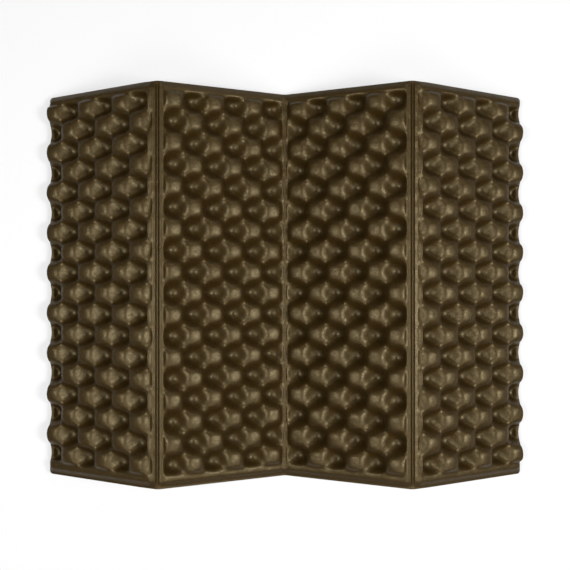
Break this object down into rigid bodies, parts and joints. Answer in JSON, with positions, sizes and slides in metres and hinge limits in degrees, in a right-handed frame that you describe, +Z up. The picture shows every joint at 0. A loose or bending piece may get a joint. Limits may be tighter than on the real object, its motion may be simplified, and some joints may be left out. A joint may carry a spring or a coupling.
{
  "type": "folding foam sit mat",
  "caption": "Folding closed-cell foam sit mat: flat rectangular panels with bumps and dimples on both faces, joined by thin pressed living hinges, standing half folded in a zigzag.",
  "frame": {"origin": "centre of the mat's footprint, on the surface it stands on", "axes": "+X across the folds, +Y along the folds, +Z up"},
  "size_m": [0.3614, 0.29, 0.0466],
  "materials": {
    "foam": "satin",
    "pressed_foam": "satin"
  },
  "bodies": {
    "inner_left": {"panel_inner_left": "foam", "fold_web_centre": "pressed_foam", "fold_web_left": "pressed_foam"},
    "inner_right": {"panel_inner_right": "foam", "fold_web_right": "pressed_foam"},
    "outer_left": {"panel_outer_left": "foam"},
    "outer_right": {"panel_outer_right": "foam"}
  },
  "joints": [
    {"name": "centre_fold", "type": "hinge", "parent": "inner_left", "child": "inner_right", "pos_m": [0, 0, 0.00721], "axis": [0, -1, 0], "range_deg": [-47.6, 132.4], "stiffness_Nm_per_rad": 0.06, "deforming": ["fold_web_centre"]},
    {"name": "left_fold", "type": "hinge", "parent": "inner_left", "child": "outer_left", "pos_m": [-0.09032, 0, 0.03907], "axis": [0, -1, 0], "range_deg": [-47.6, 132.4], "stiffness_Nm_per_rad": 0.06, "deforming": ["fold_web_left"]},
    {"name": "right_fold", "type": "hinge", "parent": "inner_right", "child": "outer_right", "pos_m": [0.09032, 0, 0.03907], "axis": [0, 1, 0], "range_deg": [-47.6, 132.4], "stiffness_Nm_per_rad": 0.06, "deforming": ["fold_web_right"]}
  ]
}
